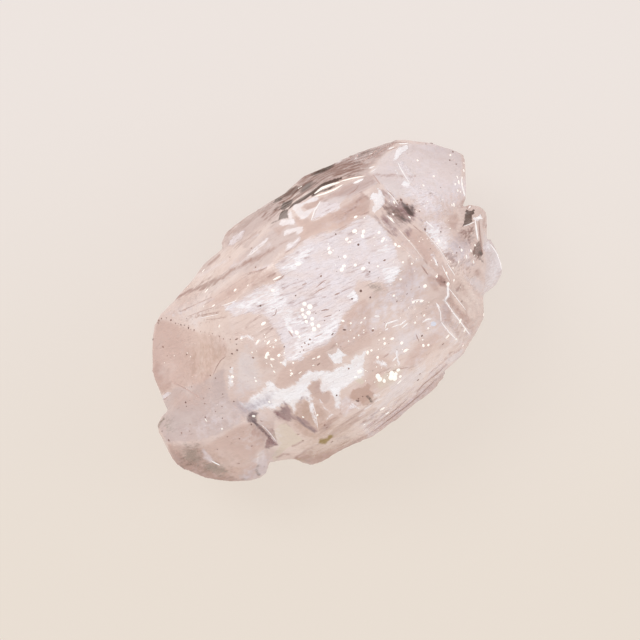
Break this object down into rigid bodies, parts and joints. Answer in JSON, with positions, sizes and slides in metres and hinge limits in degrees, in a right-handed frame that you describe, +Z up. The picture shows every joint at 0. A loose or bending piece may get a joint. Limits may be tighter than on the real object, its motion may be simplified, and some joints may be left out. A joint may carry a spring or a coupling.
{
  "type": "morganite crystal",
  "caption": "Rough pink beryl crystal fragment, an elongated see-through stone with an etched face, striated ledges and broken ends.",
  "frame": {"origin": "on the resting face's plane, under the middle of the bounding box", "axes": "+X along the crystal's c axis, its longest extent, towards the pointed end; +Z up from the resting face, towards the broad etched face"},
  "size_m": [0.031, 0.0188, 0.015],
  "materials": {
    "beryl": "see-through pale pink beryl, smooth on the broken faces and finely etched and striated on the grown ones, with cloudy white patches",
    "fracture_veil": "milky healed fractures inside the stone",
    "dark_inclusion": "tiny dark grains",
    "iron_stain": "dull ochre stain"
  },
  "bodies": {
    "root": {"morganite_crystal": "beryl"}
  },
  "joints": []
}
